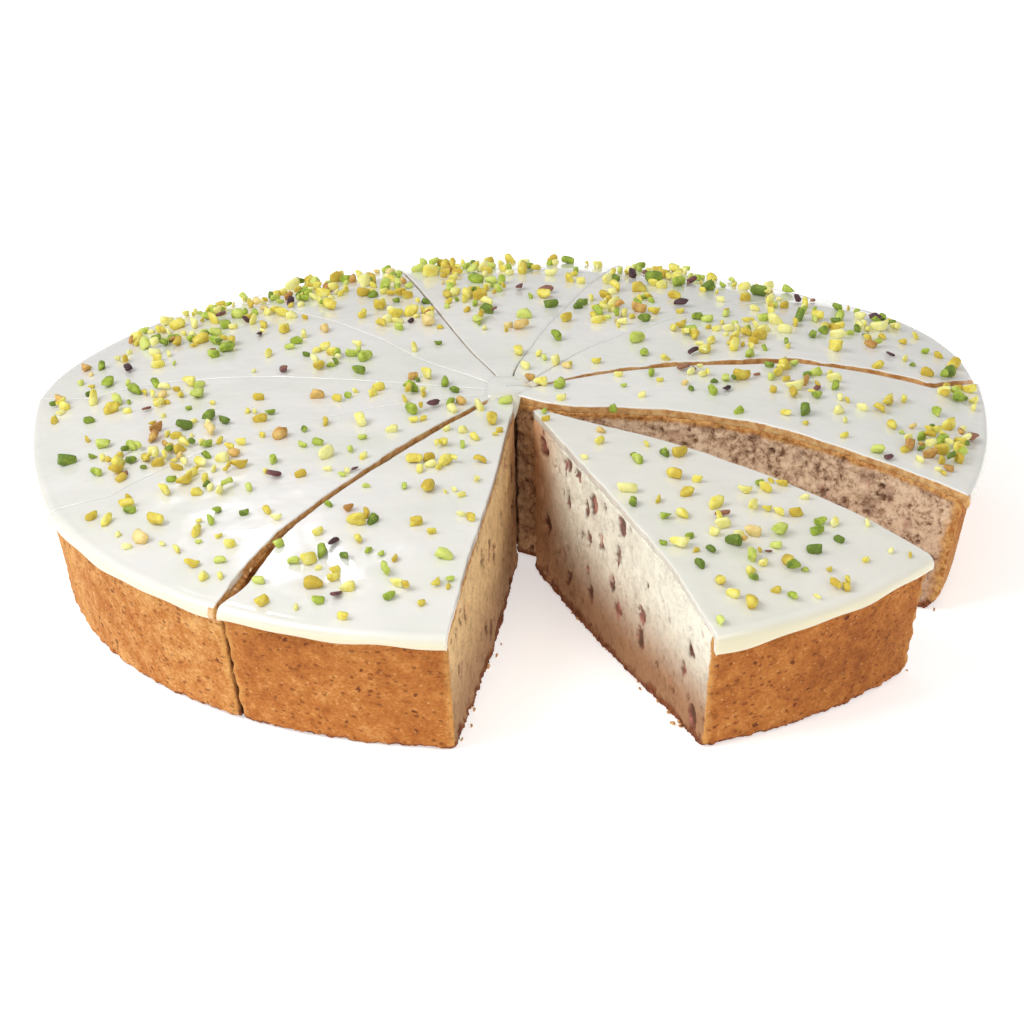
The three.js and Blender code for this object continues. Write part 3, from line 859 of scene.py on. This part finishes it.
def icing_centre(material):
    """Where the cuts meet, the icing has run together again and droops a little into the opening."""
    turns = np.linspace(0, 2 * math.pi, 61)[:, None]
    shares = np.linspace(0.02, 1, 22)[None, :]
    stray = np.array([noise.noise(Vector((1.6 * math.cos(t), 1.6 * math.sin(t), 5.3))) for t in turns[:, 0]])
    forward = np.clip(-np.sin(turns), 0, 1) ** 6
    reach = CENTRE_REACH * (1 + CENTRE_SPREAD * stray[:, None] * 2 + CENTRE_TONGUE * forward)
    x = CENTRE_AT[0] + np.cos(turns) * reach * shares * 0.9
    y = CENTRE_AT[1] + np.sin(turns) * reach * shares
    lump = np.array([[surface_swell(5 * a, 5 * b) for a, b in zip(*row)] for row in zip(x, y)])
    swell = swell_grid(x + MIDDLE[0], y + MIDDLE[1])
    droop = DROOP * np.clip(DROOP_START - y, 0, None) ** 2
    top = RIM_HEIGHT + DOME_RISE + swell - droop
    top = top + CENTRE_RISE - (CENTRE_RISE + CENTRE_SUNK) * shares ** 3 + 0.4 * lump * (1 - shares ** 2)
    outer = np.stack([x + MIDDLE[0], y + MIDDLE[1], top], 2)
    inner = outer - np.array([0.0, 0.0, CENTRE_THICKNESS]) * (1 - 0.7 * shares ** 4)[:, :, None]
    piece = shell_object("icing_centre", outer, inner)
    store(piece, "smear", 0.0)
    # painted shade on its front, where it droops into the opening
    store(piece, "cream", smooth(-coordinates(piece)[:, 1] / MM / 7.0) * 0.6)
    piece.data.materials.append(material)
    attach(piece, "root")


def icing_material():
    """Set white icing, faintly green, with painted shade that makes it yellower and duller in places, and a
    soft wet gloss.
    """
    material, nodes, shader, position = new_material("white_icing", {
        "Roughness": 0.22,
        "Coat Weight": 0.7,
        "Coat Roughness": 0.03,
        "Subsurface Weight": 0.35,
        "Subsurface Radius": (0.004, 0.0035, 0.0028),
        "Subsurface Scale": 1.0,
    })
    tint = nodes.ramp(nodes.noise(position, 40.0, 2.0, 0.5), [
        (0.35, (234, 233, 223)), (0.50, (239, 236, 228)), (0.66, (242, 238, 232)),
    ])
    # painted shade: yellower and duller by the stored amount
    tint = nodes.mix(stored(nodes, "cream"), tint, srgb(222, 214, 182))
    patches = nodes.noise(position, 2.6, 3.0, 0.6)
    covered = nodes.math("ADD", patches, stored(nodes, "smear"))
    covered = nodes.times(nodes.step(covered, 0.8, 1.15), nodes.step(stored(nodes, "smear"), 0.0, 0.2))
    dragged = nodes.ramp(nodes.noise(position, 2.2, 3.0, 0.6), [
        (0.38, (192, 138, 82)), (0.62, (228, 186, 128)),
    ])
    tint = nodes.mix(covered, tint, dragged)
    height = nodes.times_add(nodes.noise(position, 7.0, 2.0, 0.45), 0.2, nodes.noise(position, 12.0))
    dress(nodes, shader, tint, height, 0.7, 0.8)
    return material


# ---------------- chopped nuts: where they lie

NUT_LONGEST = 5.6
NUT_SHORTEST = 3.4
NUT_WIDTH = 0.66          # share of the length
NUT_DEPTH = 0.78          # the same, in the CAD part; it sets how high a piece lies
NUT_SUNK = 0.15           # share of the depth that lies in the icing
NUT_SPACING = 0.42        # how near two may lie, as a share of their lengths together
NUT_TILT = 0.7            # radians from end to end of the range
NUT_EDGE_MARGIN = 0.8     # between a piece and a cut edge
NUT_TIP_MARGIN = 2        # lengths between a piece and the portion's point
NUT_RIM_MARGIN = 4
BIT_LONGEST = 3.9
BIT_SHORTEST = 1.9
BIT_EDGE_MARGIN = -0.4    # the smaller ones may stand out over a cut edge
BIT_SPACING = 0.3         # and they may touch or lie on the larger ones

HEAPS = [                 # a place from the cake's middle, how far it spreads, and how thick the nuts lie
    ((-93, -32), 14, 1.0), ((-96, 60), 14, 1.0), ((-75, 90), 16, 1.0), ((-48, 114), 15, 1.0),
    ((-8, 118), 18, 0.8), ((-127, 24), 9, 0.9), ((-104, 14), 9, 0.6), ((-51, 27), 7, 0.9),
    ((-22, 4), 9, 0.6), ((-12, 75), 12, 0.8), ((-32, 62), 7, 0.8), ((30, 66), 10, 0.8),
    ((50, 114), 14, 0.8), ((86, 98), 12, 1.0), ((106, 66), 13, 1.0), ((66, 44), 12, 0.7),
    ((131, 20), 8, 1.0), ((84, 10), 8, 0.9), ((48, 10), 8, 0.7), ((122, -26), 10, 1.0),
    ((-15, -34), 10, 0.9), ((-44, -62), 9, 0.8), ((-48, -100), 8, 0.8), ((36, -52), 10, 0.7),
    ((68, -65), 8, 1.0), ((66, -92), 15, 0.8),
]
EVEN_SCATTER = 0.16


def seeded_random(seed):
    """A small seeded generator of even random numbers from 0 to 1."""
    mask = 0xffffffff
    state = seed & mask

    def draw():
        nonlocal state
        state = (state + 0x6d2b79f5) & mask
        mixed = ((state ^ (state >> 15)) * (state | 1)) & mask
        mixed = ((mixed + (((mixed ^ (mixed >> 7)) * (mixed | 61)) & mask)) ^ mixed) & mask
        return (mixed ^ (mixed >> 14)) / 2 ** 32

    return draw


def distance_to_cuts(portion, radius, azimuth):
    distances = []
    for cut in (portion.high, portion.low):
        turn = abs(azimuth - course_azimuth(portion, cut, radius))
        distances.append(radius * math.sin(turn) - half_gap(portion, cut, radius))
    return min(distances)


def scatter_density(x, y):
    heaped = EVEN_SCATTER
    for (heap_x, heap_y), spread, weight in HEAPS:
        distance = math.hypot(x - heap_x, y - heap_y)
        heaped += weight * math.exp(-(distance ** 2) / (2 * spread ** 2))
    return min(heaped, 1)


def lay_nuts(portion, random, sizes, count, lying, margin, spacing, gathering):
    """Adds count pieces, the longest first, to those that lie on a portion already."""
    longest, shortest = sizes
    laid = 0
    while laid < count:
        length = longest + (shortest - longest) * (laid / count)
        radius = (portion.rim - NUT_RIM_MARGIN) * math.sqrt(random())
        across = random()
        keep = random()
        turn = random() * math.pi
        tilt = (random() - 0.5) * NUT_TILT
        if radius < portion.tip + NUT_TIP_MARGIN * length:
            continue
        low, high = face_azimuths(portion, radius)
        azimuth = low + across * (high - low)
        if distance_to_cuts(portion, radius, azimuth) < length / 2 + margin:
            continue
        out = radius * reach_across(portion, radius, across)
        x, y = out * math.sin(azimuth), -out * math.cos(azimuth)
        if keep > scatter_density(x + portion.stand[0], y + portion.stand[1]) ** gathering:
            continue
        apart = [(math.hypot(x - other["x"], y - other["y"]), other["length"]) for other in lying]
        if any(distance < spacing * (length + other) for distance, other in apart):
            continue
        below = [other for distance, other in apart if distance < NUT_SPACING * (length + other)]
        lying.append({
            "x": x, "y": y, "radius": radius, "length": length, "turn": turn, "tilt": tilt,
            "raised": 0.3 * NUT_DEPTH * max(below, default=0.0),
        })
        laid += 1
    return lying


def nuts_on(portion):
    """The larger pieces lie where the CAD part has them, and smaller ones between."""
    lying = lay_nuts(portion, seeded_random(portion.seed), (NUT_LONGEST, NUT_SHORTEST), portion.nuts, [],
                     NUT_EDGE_MARGIN, NUT_SPACING, 1.0)
    lying = lay_nuts(portion, seeded_random(portion.seed + 1000), (BIT_LONGEST, BIT_SHORTEST), portion.bits,
                     lying, BIT_EDGE_MARGIN, BIT_SPACING, portion.gathering)
    for nut in lying:
        x = nut["x"] + portion.stand[0] + MIDDLE[0]
        y = nut["y"] + portion.stand[1] + MIDDLE[1]
        lift = nut["length"] * NUT_DEPTH * (0.5 - NUT_SUNK) + nut["raised"]
        nut["place"] = (x, y, dome_height(portion, nut["radius"]) + surface_swell(x, y) + lift)
    return lying


# ---------------- chopped nuts: shape and finish

NUT_KINDS = {       # share of all nuts, colours from dark to light, and how thick a piece is for its length
    "yellow": (0.59, [(206, 178, 58), (238, 224, 98), (252, 247, 168)], 0.7),
    "green": (0.31, [(104, 128, 34), (166, 188, 58), (214, 224, 118)], 0.7),
    "tan": (0.05, [(180, 128, 62), (222, 182, 100), (244, 220, 150)], 0.66),
    "dark": (0.05, [(62, 32, 40), (112, 66, 70), (154, 106, 78)], 0.32),
}
SHAPES = 12               # different shapes of each kind
BLOCK_SQUARENESS = 0.6    # below 1 swells a ball towards a block
CHOPS = 4                 # flat sides
CHOP_REACH = (0.5, 0.85)  # how far from the middle they are cut
BLOCK_BEND = 0.5          # and they are bent a little


def chopped_shapes(name, seed, depth, roughness):
    """Small blocks about 1 long with rounded corners and a few flat chopped sides, in a hidden collection."""
    chance = np.random.default_rng(seed)
    collection = bpy.data.collections.new(name)
    for index in range(SHAPES):
        shape = bmesh.new()
        bmesh.ops.create_icosphere(shape, subdivisions=2, radius=1.0)
        points = np.array([vert.co for vert in shape.verts])
        points = np.sign(points) * np.abs(points) ** BLOCK_SQUARENESS
        normals = chance.normal(size=(CHOPS, 3))
        normals /= np.linalg.norm(normals, axis=1)[:, None]
        for normal, reach in zip(normals, chance.uniform(*CHOP_REACH, CHOPS)):
            beyond = np.clip(points @ normal - reach, 0, None)
            points -= beyond[:, None] * normal
        points += BLOCK_BEND * chance.uniform(-1, 1) * points[:, :1] ** 2 * np.array([[0.0, 1.0, 0.0]])
        points *= 1 + roughness * chance.uniform(-1, 1, (len(points), 1))
        middle = (points.max(0) + points.min(0)) / 2
        points = (points - middle) / (points.max(0) - points.min(0))
        points *= (1.0, NUT_WIDTH * chance.uniform(0.62, 1.05), depth * chance.uniform(0.7, 1.1))
        for vert, point in zip(shape.verts, points):
            vert.co = point
        for face in shape.faces:
            face.smooth = True
        mesh = bpy.data.meshes.new(f"{name}_{index}")
        shape.to_mesh(mesh)
        shape.free()
        collection.objects.link(bpy.data.objects.new(mesh.name, mesh))
    return collection


def scatter_tree():
    """Puts a shape on each point, turned and sized as the point says."""
    tree = new_geometry_tree("scattered_pieces", {"Shapes": "Collection", "Material": "Material"})
    nodes = Nodes(tree)
    given = nodes.add("NodeGroupInput")
    shapes = nodes.add("GeometryNodeCollectionInfo", {
        "Collection": given.outputs["Shapes"],
        "Separate Children": True,
        "Reset Children": True,
    })
    rotation = nodes.add("FunctionNodeEulerToRotation", {0: named(nodes, "euler", "FLOAT_VECTOR")}).outputs[0]
    instances = nodes.add("GeometryNodeInstanceOnPoints", {
        "Points": given.outputs["Geometry"],
        "Instance": shapes.outputs[0],
        "Pick Instance": True,
        "Instance Index": named(nodes, "which", "INT"),
        "Rotation": rotation,
        "Scale": nodes.times(named(nodes, "length"), MM),
    })
    real = nodes.add("GeometryNodeRealizeInstances", {0: instances.outputs[0]})
    finished = nodes.add("GeometryNodeSetMaterial", {
        "Geometry": real.outputs[0],
        "Material": given.outputs["Material"],
    })
    nodes.add("NodeGroupOutput", {0: finished.outputs[0]})
    return tree


def new_spot(chance, place, length, euler, tones=(0.0, 1.0)):
    """A small thing to scatter: its place, length and turn, and a random shape and tone."""
    which = int(chance.integers(SHAPES))
    return {"place": place, "length": length, "euler": euler, "which": which, "tone": chance.uniform(*tones)}


def scattered_piece(name, spots, shapes, scatter, material):
    """One mesh of many small things."""
    mesh = bpy.data.meshes.new(name)
    mesh.from_pydata([[value * MM for value in spot["place"]] for spot in spots], [], [])
    piece = new_object(name, mesh)
    for key, kind in (("euler", "FLOAT_VECTOR"), ("which", "INT"), ("length", "FLOAT"), ("tone", "FLOAT")):
        store(piece, key, [spot[key] for spot in spots], kind)
    run_tree(piece, scatter, {"Shapes": shapes, "Material": material})
    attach(piece, "root")
    return piece


CENTRE_NUTS = [           # where the cuts meet: x and y from the cake's middle, length and kind
    (-1.6, -8.6, 4.2, "green"), (8.8, 4.6, 4.4, "yellow"), (14.2, 3.0, 4.6, "green"),
    (5.6, 8.6, 3.2, "tan"), (-9.0, -12.6, 4.4, "yellow"), (-14.5, -8.5, 3.6, "tan"),
    (-19.0, 6.0, 4.0, "green"), (2.4, 29.0, 4.6, "yellow"), (13.0, 20.0, 4.0, "yellow"),
    (16.5, 17.0, 3.4, "tan"), (9.5, -16.5, 2.6, "green"), (29.0, -16.0, 4.2, "green"),
]
CENTRE_NUT_LIFT = 0.25    # height of their middle over the icing, as a share of their length
TONE_STOPS = (0.2, 0.5, 0.8)    # where a nut's dark, middle and light colour lie


def nut_material(kind, colours):
    """A chopped nut: each piece has its own tone, and its sides differ."""
    material, nodes, shader, position = new_material(f"nut_{kind}", {
        "Roughness": 0.5,
        "Subsurface Weight": 0.3,
        "Subsurface Radius": (0.002, 0.0017, 0.0006),
        "Subsurface Scale": 1.0,
    })
    tone = stored(nodes, "tone")
    faces = nodes.noise(position, 3.0, 2.0, 0.5)
    speckle = nodes.noise(position, 0.8, 3.0, 0.6)
    factor = nodes.times_add(faces, 0.9, nodes.times_add(tone, 0.7, -0.3))
    factor = nodes.times_add(nodes.minus(speckle, 0.5), 0.35, factor)
    colour = nodes.ramp(factor, list(zip(TONE_STOPS, colours)))
    dress(nodes, shader, colour, speckle, 0.25, 0.7)
    return material


def nut_pieces(scatter):
    chance = np.random.default_rng(KINDS_SEED)
    kinds = list(NUT_KINDS)
    shares = np.cumsum([NUT_KINDS[kind][0] for kind in kinds])
    spots = {kind: [] for kind in kinds}
    for portion in ALL_PORTIONS:
        for nut in nuts_on(portion):
            kind = kinds[int(np.searchsorted(shares, chance.uniform(0, shares[-1] - 1e-9)))]
            euler = (nut["tilt"], chance.uniform(-0.25, 0.25), nut["turn"])
            spots[kind].append(new_spot(chance, nut["place"], nut["length"], euler))
    for x, y, length, kind in CENTRE_NUTS:
        x, y = x + MIDDLE[0], y + MIDDLE[1]
        place = (x, y, RIM_HEIGHT + DOME_RISE + surface_swell(x, y) + CENTRE_NUT_LIFT * length)
        euler = (chance.uniform(-0.3, 0.3), chance.uniform(-0.25, 0.25), chance.uniform(0, math.pi))
        spots[kind].append(new_spot(chance, place, length, euler, (0.3, 0.9)))
    for seed, kind in enumerate(kinds):
        _, colours, depth = NUT_KINDS[kind]
        shapes = chopped_shapes(f"shapes_{kind}", seed, depth, 0.07)
        material = nut_material(kind, colours)
        scattered_piece(f"nuts_{kind}", spots[kind], shapes, scatter, material)


# ---------------- crumbs

CRUMBED_FEET = [          # a portion, its low (0) or high (1) face, and how many crumbs lie along its foot
    (PORTIONS[0], 1, 10), (PULLED, 0, 12), (PULLED, 1, 10), (PORTIONS[8], 0, 12),
]
CRUMBS_STRAY = 0.5        # how far from the foot they lie on average
KERF_CRUMBS = 14          # that lie in the wide cut beside the first portion
CRUMB_SIZES = (0.5, 1.7)


def crumb_spots():
    chance = np.random.default_rng(CRUMB_SEED)
    spots = []

    def drop(portion, face, radius, away, height):
        x, y, azimuth = plan_points(portion, radius, face)
        side = away if face else -away
        length = chance.uniform(*CRUMB_SIZES)
        place = (x + side * math.cos(azimuth), y + side * math.sin(azimuth), height + 0.3 * length)
        spots.append(new_spot(chance, place, length, tuple(chance.uniform(0, math.pi, 3))))

    for portion, face, count in CRUMBED_FEET:
        for _ in range(count):
            radius = portion.rim * chance.uniform(0.25, 0.94)
            drop(portion, face, radius, chance.exponential(CRUMBS_STRAY), 0.0)
    for _ in range(KERF_CRUMBS):
        portion = PORTIONS[1]
        radius = portion.rim * chance.uniform(0.5, 0.96)
        height = dome_height(portion, radius) - ICING_THICKNESS - ICING_GAP
        drop(portion, 1, radius, chance.uniform(-0.6, 0.3), height)
    return spots


def crumb_material():
    material, nodes, shader, position = new_material("loose_crumb", {"Roughness": 0.9})
    factor = nodes.times_add(nodes.noise(position, 0.7, 3.0), 0.7, nodes.times(stored(nodes, "tone"), 0.4))
    colour = nodes.ramp(factor, [(0.30, (140, 84, 46)), (0.55, (200, 140, 84)), (0.78, (236, 206, 158))])
    dress(nodes, shader, colour, nodes.noise(position, 0.5, 3.0), 0.2, 0.8)
    return material


def crumb_piece(scatter):
    shapes = chopped_shapes("shapes_crumb", 9, 0.8, 0.22)
    scattered_piece("loose_crumbs", crumb_spots(), shapes, scatter, crumb_material())


# ---------------- the stage

FOCAL_PIXELS = 4500.0      # the photograph's focal length in pixels of its own frame
FRAME_PIXELS = 1024.0
SENSOR = 36.0
CAMERA_BACK = 1203.4       # from the cake's middle
CAMERA_UP = 550.6
CAMERA_LEFT = 0.3
CAMERA_PITCH = 24.116      # degrees downwards
CAMERA_ROLL = -1.0


def make_camera():
    data = bpy.data.cameras.new("camera")
    data.sensor_width = SENSOR
    data.lens = FOCAL_PIXELS / FRAME_PIXELS * SENSOR
    camera = new_object("camera", data)
    place = Vector(((MIDDLE[0] - CAMERA_LEFT) * MM, (MIDDLE[1] - CAMERA_BACK) * MM, CAMERA_UP * MM))
    tilt = Matrix.Rotation(math.radians(90 - CAMERA_PITCH), 4, "X")
    roll = Matrix.Rotation(math.radians(CAMERA_ROLL), 4, "Z")
    camera.matrix_world = Matrix.Translation(place) @ tilt @ roll
    bpy.context.scene.camera = camera


def make_light(name, place, size, power, colour=(1.0, 1.0, 1.0)):
    """A soft light, so wide and so high, that faces the cake."""
    data = bpy.data.lights.new(name, "AREA")
    data.shape = "RECTANGLE"
    data.size, data.size_y = size
    data.energy = power
    data.color = colour
    light = new_object(name, data)
    light.location = place
    light.rotation_euler = (Vector(place) * -1).to_track_quat("-Z", "Y").to_euler()


def make_floor():
    """A wide pale floor."""
    mesh = bpy.data.meshes.new("floor")
    shape = bmesh.new()
    bmesh.ops.create_grid(shape, x_segments=4, y_segments=4, size=4.0)
    shape.to_mesh(mesh)
    shape.free()
    floor = new_object("floor", mesh)
    floor.location.z = -0.0002
    material, nodes, shader, position = new_material("pale_floor", {
        "Roughness": 0.9,
        "Emission Color": (1.0, 1.0, 1.0, 1.0),
        "Emission Strength": 0.5,
    })
    tone = nodes.noise(position, 400.0, 2.0)
    tones = nodes.ramp(tone, [(0.3, (244, 244, 243)), (0.7, (247, 247, 246))])
    nodes.put(shader.inputs["Base Color"], tones)
    mesh.materials.append(material)
    floor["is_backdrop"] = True


def make_stage():
    make_camera()
    make_floor()
    make_light("key", (-1.25, -0.5, 1.35), (1.1, 1.1), 22)
    make_light("fill", (0.9, -1.5, 1.0), (1.2, 1.2), 8)
    make_light("window", (-0.39, 1.35, 1.29), (0.1, 0.42), 1.1, (0.93, 0.9, 1.0))
    world = bpy.data.worlds.new("studio")
    world.use_nodes = True
    world.node_tree.nodes["Background"].inputs[0].default_value = (1.0, 1.0, 1.0, 1.0)
    world.node_tree.nodes["Background"].inputs[1].default_value = 0.5
    bpy.context.scene.world = world
    bpy.context.scene.view_settings.view_transform = "Standard"


# ---------------- the whole

def make_cake():
    sponge = sponge_material()
    icing = icing_material()
    relief = sponge_relief_tree()
    for portion in ALL_PORTIONS:
        sponge_piece(portion, relief, sponge)
        icing_piece(portion, icing)
    icing_centre(icing)
    scatter = scatter_tree()
    nut_pieces(scatter)
    crumb_piece(scatter)


make_stage()
make_cake()
